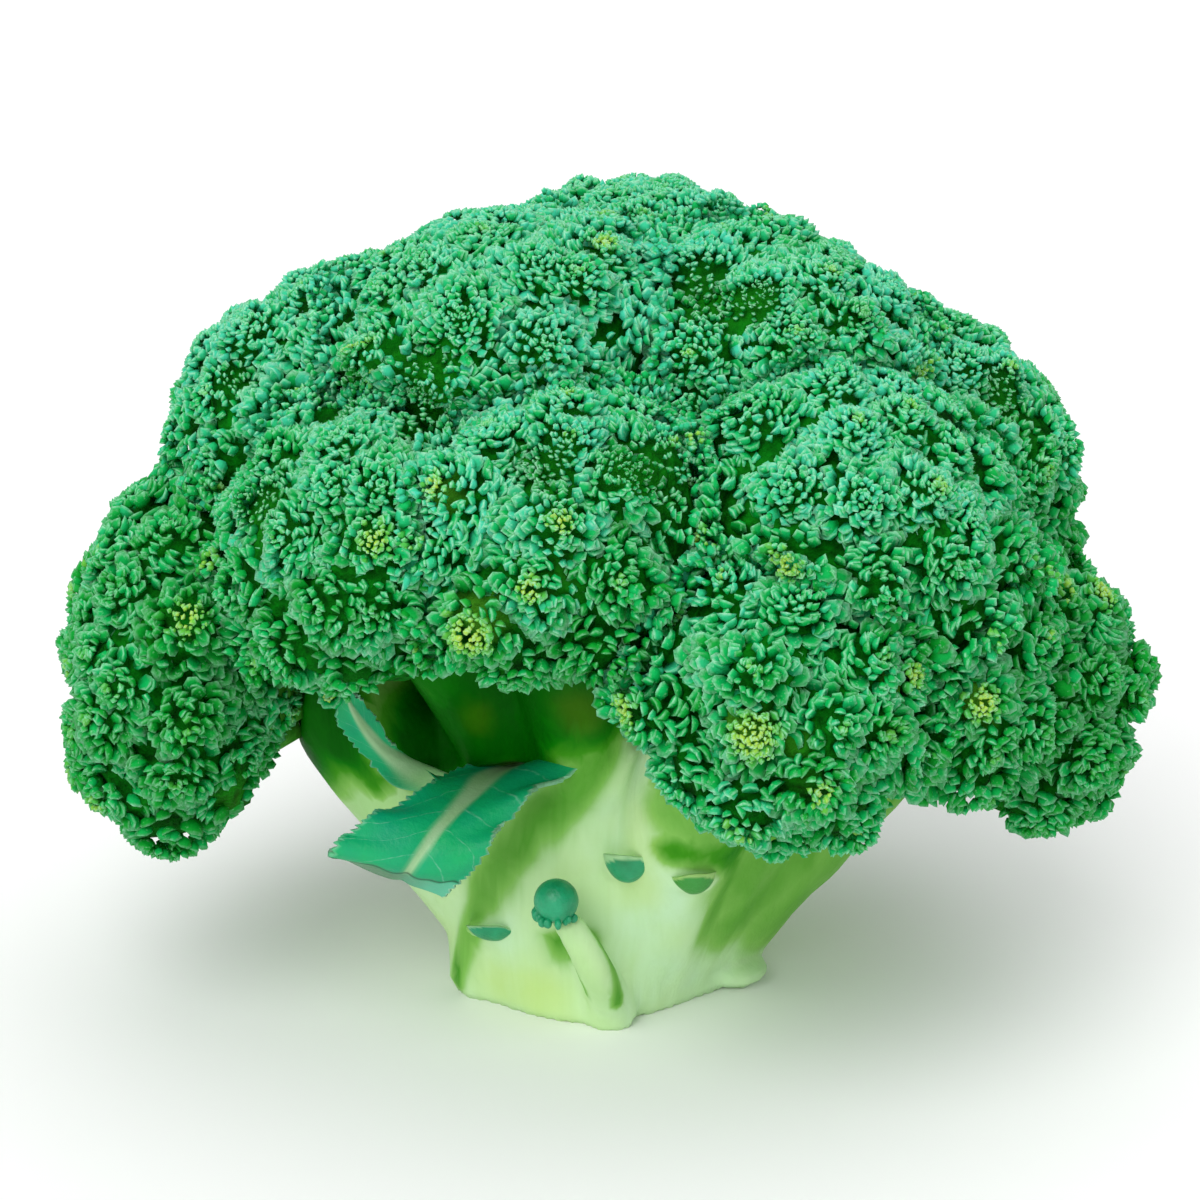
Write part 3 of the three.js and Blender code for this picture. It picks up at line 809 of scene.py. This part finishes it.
def makeStalkMaterial():
    material, tree, shader = newMaterial("stalkSkin", Roughness=0.5, Specular_IOR_Level=0.06)
    shade, yellow = attributes(tree, "shade", "yellow")
    mottle = placeMottle(tree, 45, 700)
    fibre = placeFibre(tree, 260, 12)
    skin = mixColours(tree, mottle["Blotches"], colour(206, 238, 170), colour(208, 244, 204))
    streak = multiply(tree, fibre["Streaks"], 0.3)
    skin = mixColours(tree, streak, skin, colour(178, 220, 134))
    uneven = multiply(tree, calculate(tree, "SUBTRACT", fibre["Streaks"], 0.5), 0.16)
    # painted shade: where the shade layer is high the skin darkens to deep green
    byShade = ramp(tree, calculate(tree, "ADD", shade, multiply(tree, uneven, shade)), [
        (0, colour(200, 236, 176)), (0.3, colour(136, 196, 92)), (0.55, colour(66, 152, 26)),
        (0.8, colour(10, 122, 2)), (1, colour(2, 98, 0))])
    skin = mixColours(tree, mapRange(tree, shade, 0.02, 0.25, 0, 1), skin, byShade)
    # the yellow patches darken with the painted shade too
    gold = mixColours(tree, shade, colour(196, 226, 110), colour(96, 128, 8))
    skin = mixColours(tree, yellow, skin, gold)
    height = calculate(tree, "ADD", fibre["Streaks"], multiply(tree, mottle["Grain"], 0.3))
    finishSkin(tree, shader, skin, height, 0.25, 0.5)
    return material


def fillingOf(node):
    # closes the hollow that a stub sits in, so that the skin runs on round the stub
    low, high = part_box(node)
    middle = (low + high) / 2
    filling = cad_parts[node].data.copy()
    for vertex in filling.vertices:
        x, y, z = (vertex.co - middle) * stalk["stubFilling"]
        vertex.co = middle + Vector((x, y * (stalk["stubSwelling"] if y < 0 else 1), z))
    return filling


def finished(piece):
    # the piece's mesh with its modifiers applied
    graph = bpy.context.evaluated_depsgraph_get()
    return bpy.data.meshes.new_from_object(piece.evaluated_get(graph))


def makeStalk(florets):
    shape = bmesh.new()
    shape.from_mesh(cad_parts["stalk"].data)
    for node in stubs:
        shape.from_mesh(fillingOf(node))
    bmesh.ops.remove_doubles(shape, verts=shape.verts, dist=0.01 * mm)
    rough = newObject("roughStalk", asMesh(shape, "roughStalk"))
    even = rough.modifiers.new("evenSkin", "REMESH")
    even.mode = "VOXEL"
    even.voxel_size = stalk["voxel"] * mm
    shape = bmesh.new()
    shape.from_mesh(finished(rough))
    above = [vertex for vertex in shape.verts if vertex.co.z > stalk["crispUpTo"] * mm]
    for k in range(stalk["softening"]):
        bmesh.ops.smooth_vert(shape, verts=above, factor=0.5,
                              use_axis_x=True, use_axis_y=True, use_axis_z=True)
    rough.modifiers.remove(even)
    rough.data = asMesh(shape, "softStalk")
    fewer = rough.modifiers.new("fewerFaces", "DECIMATE")
    fewer.ratio = stalk["keepFaces"]
    shape = bmesh.new()
    shape.from_mesh(finished(rough))
    bpy.data.objects.remove(rough)
    shape.normal_update()
    shade, yellow = newLayers(shape, "shade", "yellow")
    near, far = [reach * mm for reach in stalk["undersideReach"]]
    size = stalk["ribSize"]
    for vertex in shape.verts:
        spot = vertex.co / mm
        ribs = noise.noise(Vector((spot.x / size, spot.y / size, spot.z / size / stalk["ribStretch"])))
        vertex.co += vertex.normal * ribs * stalk["ribDepth"] * mm * smooth(spot.z, *stalk["ribFade"])
        away = min((vertex.co - floret["middle"]).length - floret["across"] for floret in florets)
        # painted shade under the crown, with the upper branches' real greener colour: the skin turns
        # dark green near a floret
        green = (1 - smooth(away, near, far)) * stalk["undersideGreenAndShade"]
        vertex[shade] = min(green + patchShare(spot, stalk["patches"]), 1)
        vertex[yellow] = min(patchShare(spot, stalk["yellowPatches"]), 1)
        if spot.z < stalk["flatFoot"]:
            vertex.co.z = 0
    mesh = asMesh(shape, "stalk_body")
    newPiece("stalk_body", mesh, [makeStalkMaterial()], "stalk")
    print("stalk:", len(mesh.polygons), "faces")


# Leaves

largeLeaf = {
    # three lines from the foot to the tip, then the counts of faces
    "left": ((-17, -13, 40.5), (-22.7, -20, 41.6), (-27.2, -27, 41), (-31.5, -33, 40.6),
             (-35.4, -37, 40.2), (-38.5, -40, 39.2), (-40.6, -41, 37.4), (-41, -38.4, 35.4)),
    "rib": ((-12.5, -14, 40.5), (-17.9, -22, 41.4), (-20.5, -28, 40.9), (-23, -33, 39.8),
            (-25.5, -36.7, 38.2), (-27.5, -39, 36.1), (-29.5, -39.8, 33.6), (-31, -36.8, 30.4)),
    "right": ((-2, -15, 44.5), (-1.9, -22, 44.9), (-7.4, -27, 42.6), (-12.1, -30.5, 40.8),
              (-15.7, -34, 38.4), (-18.2, -37, 35.5), (-21.6, -38.8, 31.6), (-24.5, -36.5, 28.4)),
    "rows": 130,
    "columns": 40,
    "thickness": 0.7,
    "ribHeight": 1.0,
    "rightAtFoot": 1,  # how wide the right half is at the foot, as a share of its full width
    "ribShift": 0,
    "ribAtFoot": 0.26,  # how much wider the midrib is at the foot, as a share of half the blade
    "ribAtTip": 0.08,
    "teeth": 34,
    "toothDepth": 1.6,
    "toothFrom": 0.02,  # the edge is smooth from the foot up to here
    "foldFrom": 0.88,  # from here to the tip the pale back of the blade shows
    "waves": 3.5,
    "waveHeight": 0.7,
}
smallLeaf = {
    "left": ((-28, -14, 35), (-33, -23, 40), (-35.9, -25.5, 44.3), (-39, -28, 49.1),
             (-40.7, -29, 53), (-39.6, -29, 57.2)),
    "rib": ((-24, -13, 36), (-30, -21.5, 42), (-34.2, -25, 46.2), (-36.8, -27.5, 50.5),
            (-38.6, -29, 54.7), (-39.2, -29, 57.6)),
    "right": ((-21, -13, 38), (-27.8, -19, 43.6), (-32.2, -24, 47.3), (-34.4, -27, 51.6),
              (-36.9, -29, 55.5), (-38.8, -29, 57.2)),
    "rows": 70,
    "columns": 24,
    "thickness": 0.6,
    "ribHeight": 0.8,
    "rightAtFoot": 0.45,
    "ribShift": 0.25,
    "ribAtFoot": 1.1,
    "ribAtTip": 0.1,
    "teeth": 17,
    "toothDepth": 1.1,
    "toothFrom": 0.3,
    "foldFrom": 2,  # it has no fold
    "waves": 2,
    "waveHeight": 0.3,
}
edgeBand = 0.86  # the teeth and the pale edge begin at this share of half the blade
toothFade = 0.08  # how soon the teeth and the fold begin, as shares of the blade's length
foldFade = 0.04
puffScale = 130  # of the blade's uneven swellings
puffHeight = 0.35


def alongRail(places, share):
    # a smooth line through the places
    last = len(places) - 1
    start = min(int(share * last), last - 1)
    s = share * last - start
    a, b, c, d = (place(places[min(max(start + i, 0), last)]) for i in (-1, 0, 1, 2))
    bent = (a * 2 - b * 5 + c * 4 - d) * s ** 2 + (b * 3 - c * 3 + d - a) * s ** 3
    return (b * 2 + (c - a) * s + bent) / 2


def bladePoint(leaf, u, v):
    # u from -1 at the left edge to 1 at the right, v from 0 at the foot to 1 at the tip
    left, rib, right = (alongRail(leaf[rail], v) for rail in ("left", "rib", "right"))
    right = rib.lerp(right, blend(leaf["rightAtFoot"], 1, smooth(v, 0.1, 0.8)))
    return rib * (1 - u * u) + left * (u * u - u) / 2 + right * (u * u + u) / 2


def toothOf(leaf, v, side):
    # uneven teeth that point to the tip
    beat = v * leaf["teeth"] + side * 0.37 + 0.9 * noise.noise(Vector((v * 9, side * 5, 1)))
    depth = 0.6 + 0.7 * noise.noise(Vector((v * 14, side * 3, 7)))
    return ((beat % 1) - 0.5) * leaf["toothDepth"] * mm * depth


def makeLeaf(name, leaf, materials):
    shape = bmesh.new()
    bmesh.ops.create_grid(shape, x_segments=leaf["columns"], y_segments=leaf["rows"], size=1)
    pattern = shape.loops.layers.uv.new("bladeMap")
    edge, rib, fold = newLayers(shape, "edge", "rib", "fold")
    spots = {vertex: (vertex.co.x, (vertex.co.y + 1) / 2) for vertex in shape.verts}
    for face in shape.faces:
        for loop in face.loops:
            u, v = spots[loop.vert]
            loop[pattern].uv = ((u + 1) / 2, v)
    step = 0.01
    for vertex, (u, v) in spots.items():
        side = math.copysign(1, u)
        middle = bladePoint(leaf, u, v)
        aside = (bladePoint(leaf, u + step, v) - bladePoint(leaf, u - step, v)).normalized()
        along = bladePoint(leaf, u, min(1, v + step)) - bladePoint(leaf, u, max(0, v - step))
        facing = aside.cross(along.normalized()).normalized()
        near = smooth(abs(u), edgeBand, 1)
        tooth = toothOf(leaf, v, side) * near * side
        tooth *= smooth(v, leaf["toothFrom"], leaf["toothFrom"] + toothFade)
        ribWidth = leaf["ribAtFoot"] * (1 - v) ** 2 + leaf["ribAtTip"]
        ridge = math.exp(-(u / (ribWidth + 0.04)) ** 2) * (1 - 0.6 * v) * leaf["ribHeight"]
        wave = math.sin(v * leaf["waves"] * 2 * math.pi + u * 2) * u * u * leaf["waveHeight"]
        puff = noise.noise(middle * puffScale) * puffHeight
        vertex.co = middle + aside * tooth + facing * (ridge + wave + puff) * mm
        vertex[edge] = near * (0.7 + 0.3 * side)
        vertex[rib] = 1 - smooth(abs(u - leaf["ribShift"] * (1 - v)), ribWidth * 0.6, ribWidth * 1.4)
        uneven = 0.03 * noise.noise(Vector((u * 3, 0, 5)))
        vertex[fold] = smooth(v - uneven, leaf["foldFrom"], leaf["foldFrom"] + foldFade)
    shape.normal_update()
    bmesh.ops.solidify(shape, geom=list(shape.faces), thickness=leaf["thickness"] * mm)
    mesh = asMesh(shape, name)
    newPiece(name, mesh, materials, name.replace("_blade", ""))
    print(name, len(mesh.polygons), "faces")


def makeLeafMaterial():
    material, tree, shader = newMaterial("leafSkin", Roughness=0.42, Specular_IOR_Level=0.3)
    mottle = placeMottle(tree, 110, 1100)
    bladeMap = addNode(tree, "ShaderNodeUVMap", uv_map="bladeMap")
    across = addNode(tree, "ShaderNodeSeparateXYZ", {0: bladeMap.outputs[0]})
    u = mapRange(tree, across.outputs["X"], 0, 1, -1, 1)
    v = across.outputs["Y"]
    offMiddle = calculate(tree, "ABSOLUTE", u, 0)
    edge, rib, fold = attributes(tree, "edge", "rib", "fold")
    skin = mixColours(tree, mottle["Blotches"], colour(6, 168, 122), colour(18, 188, 112))
    # side veins leave the midrib forwards
    slant = calculate(tree, "SUBTRACT", multiply(tree, v, 6), multiply(tree, offMiddle, 1.5))
    bent = calculate(tree, "ADD", slant, multiply(tree, mottle["Blotches"], 0.3))
    beat = calculate(tree, "SUBTRACT", calculate(tree, "FRACT", bent, 0), 0.5)
    beat = calculate(tree, "ABSOLUTE", beat, 0)
    vein = multiply(tree, mapRange(tree, beat, 0.0, 0.035, 0.6, 0), mottle["Grain"])
    skin = mixColours(tree, vein, skin, colour(140, 214, 184))
    ribSkin = mixColours(tree, mottle["Blotches"], colour(158, 206, 146), colour(178, 218, 170))
    skin = mixColours(tree, rib, skin, ribSkin)
    turned = mixColours(tree, mapRange(tree, u, -0.2, 0.5, 0, 1),
                        colour(88, 136, 102), colour(92, 186, 150))
    skin = mixColours(tree, fold, skin, turned)
    # painted shadow: a dark line where the tip folds
    offFoldShadow = calculate(tree, "ABSOLUTE", calculate(tree, "SUBTRACT", fold, 0.35), 0)
    foldShadow = mapRange(tree, offFoldShadow, 0, 0.42, 0.95, 0)
    skin = mixColours(tree, foldShadow, skin, colour(2, 76, 46))
    rimShare = multiply(tree, edge, mapRange(tree, offMiddle, 0.95, 1, 0, 0.8))
    skin = mixColours(tree, rimShare, skin, colour(160, 214, 180))
    height = calculate(tree, "ADD", multiply(tree, vein, 1.2), mottle["Grain"])
    finishSkin(tree, shader, skin, height, 0.18, 0.3)
    return material


# Shoot tip and leaf stubs

shootTip = {
    "at": (-8.2, -31.6, 24.6),
    "radius": 3.4,
    "frills": 14,
    "frillSize": (0.75, 0.5, 0.85),
    "frillSide": -2.3,  # radians; the frill is fullest on this side of the stem
    "frillSpread": 0.75,
    "knobSide": -0.35,  # and a single knob stands here
    "drop": 2.3,  # how far under the middle of the tip the frill stands
    "seed": 3,
}
# the height of the straight top edge, its tilt, how far an end is drawn out to a point, and the yellow
stubs = {
    "leaf_stub_left": {"edge": 1, "tilt": 0.06, "point": 0.75, "yellow": 0},
    "leaf_stub_mid": {"edge": 1.15, "tilt": -0.08, "point": 0.1, "yellow": 0.1},
    "leaf_stub_right": {"edge": 1.2, "tilt": 0.1, "point": -0.3, "yellow": 0.8},
}
stubSlope = 0.36  # how steeply the top of a stub falls away from its front edge


def makeTealMaterial():
    material, tree, shader = newMaterial("tealSkin", Roughness=0.4)
    mottle = placeMottle(tree, 300, 1500)
    lip, yellow = attributes(tree, "lip", "yellow")
    skin = mixColours(tree, mottle["Blotches"], colour(6, 132, 84), colour(30, 166, 116))
    skin = mixColours(tree, yellow, skin, colour(60, 150, 30))
    lipSkin = mixColours(tree, yellow, colour(190, 230, 170), colour(176, 216, 110))
    finishSkin(tree, shader, mixColours(tree, lip, skin, lipSkin), mottle["Grain"], 0.3, 0.2)
    return material


def makeShootTip(material):
    shape = bmesh.new()
    newLayers(shape, "lip", "yellow")
    middle = place(shootTip["at"])
    bmesh.ops.create_uvsphere(shape, u_segments=24, v_segments=16, radius=shootTip["radius"] * mm,
                              matrix=Matrix.Translation(middle))
    draw = random.Random(shootTip["seed"])
    for k in range(shootTip["frills"]):
        turn = draw.gauss(shootTip["frillSide"], shootTip["frillSpread"]) if k else shootTip["knobSide"]
        away = (shootTip["radius"] - draw.uniform(0.5, 1)) * mm
        out = Vector((math.cos(turn), math.sin(turn), 0)) * away
        where = middle + out - upward * (shootTip["drop"] + draw.uniform(-0.3, 0.5)) * mm
        size = Matrix.Diagonal(Vector(shootTip["frillSize"]) * draw.uniform(0.7, 1.3) * mm).to_4x4()
        turned = Matrix.Rotation(turn, 4, "Z") @ Matrix.Rotation(0.5, 4, "Y")
        spot = Matrix.Translation(where) @ turned @ size
        bmesh.ops.create_uvsphere(shape, u_segments=10, v_segments=7, radius=1, matrix=spot)
    newPiece("shoot_tip_frill", asMesh(shape, "shoot_tip_frill"), [material], "shoot_tip")


def makeStub(node, given, material):
    low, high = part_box(node)
    middle = (low + high) / 2
    half = (high - low) / 2
    shape = bmesh.new()
    lip, yellow = newLayers(shape, "lip", "yellow")
    bmesh.ops.create_uvsphere(shape, u_segments=48, v_segments=36, radius=1)
    for vertex in shape.verts:
        x, y, z = vertex.co
        ceiling = given["edge"] + given["tilt"] * x - stubSlope * (y + 1) * half.y / half.z
        z = given["edge"] + z * (1 + given["edge"])  # widest at the straight edge
        vertex[lip] = 0.7 * smooth(math.hypot(x, z), 0.92, 0.99)
        vertex[yellow] = given["yellow"]
        narrow = 1 - abs(given["point"]) * smooth(x * math.copysign(1, given["point"]), 0.1, 1)
        vertex.co = middle + Vector((x * half.x, y * half.y, min(z, ceiling) * narrow * half.z))
    name = node + "_cup"
    newPiece(name, asMesh(shape, name), [material], node)


# Setting

setting = {
    "target": (-1.6, 0, 62),
    "distance": 480,
    "elevation": 18,
    "lens": 91.9,
    "floorSize": 4000,
    "roomLight": 0.55,
    "lights": {  # the way to each wide soft light, its spread in degrees and its strength
        "keyLight": ((-0.35, -0.7, 0.8), 50, 1.7),
        "topLight": ((0.2, 0.2, 1), 70, 0.8),
    },
}


def makeSetting():
    scene = bpy.context.scene
    scene.view_settings.view_transform = "Standard"
    camera = newObject("camera", bpy.data.cameras.new("camera"))
    rise = math.radians(setting["elevation"])
    back = Vector((0, -math.cos(rise), math.sin(rise)))
    camera.location = place(setting["target"]) + back * setting["distance"] * mm
    camera.rotation_euler = (-back).to_track_quat("-Z", "Y").to_euler()
    camera.data.lens = setting["lens"]
    camera.data.clip_start = 0.01
    scene.camera = camera

    world = bpy.data.worlds.new("softRoom")
    world.use_nodes = True
    # the room lights the head softly, and is plain white behind it
    tree = world.node_tree
    lit = tree.nodes["Background"]
    lit.inputs["Color"].default_value = (1, 1, 1, 1)
    lit.inputs["Strength"].default_value = setting["roomLight"]
    seen = addNode(tree, "ShaderNodeBackground", {"Color": (1, 1, 1, 1), "Strength": 1})
    toCamera = addNode(tree, "ShaderNodeLightPath").outputs["Is Camera Ray"]
    room = addNode(tree, "ShaderNodeMixShader", {0: toCamera, 1: lit.outputs[0], 2: seen.outputs[0]})
    tree.links.new(room.outputs[0], tree.nodes["World Output"].inputs["Surface"])
    scene.world = world

    for name, (towards, spread, strength) in setting["lights"].items():
        light = newObject(name, bpy.data.lights.new(name, "SUN"))
        light.data.angle = math.radians(spread)
        light.data.energy = strength
        light.rotation_euler = Vector(towards).to_track_quat("Z", "Y").to_euler()

    shape = bmesh.new()
    bmesh.ops.create_grid(shape, x_segments=1, y_segments=1, size=setting["floorSize"] * mm / 2)
    floor = newObject("floor", asMesh(shape, "floor"))
    paleFloor = newMaterial("paleFloor", Base_Color=(0.97, 0.97, 0.97, 1), Roughness=0.7)[0]
    floor.data.materials.append(paleFloor)
    floor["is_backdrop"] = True


makeSetting()
makeCrown()
makeStalk(readFlorets())
leafMaterial = makeLeafMaterial()
makeLeaf("leaf_large_blade", largeLeaf, [leafMaterial])
makeLeaf("leaf_small_blade", smallLeaf, [leafMaterial])
tealMaterial = makeTealMaterial()
makeShootTip(tealMaterial)
for node, given in stubs.items():
    makeStub(node, given, tealMaterial)

total = 0
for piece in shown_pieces():
    piece.data.calc_loop_triangles()
    total += len(piece.data.loop_triangles)
print("visual model:", total, "triangles")
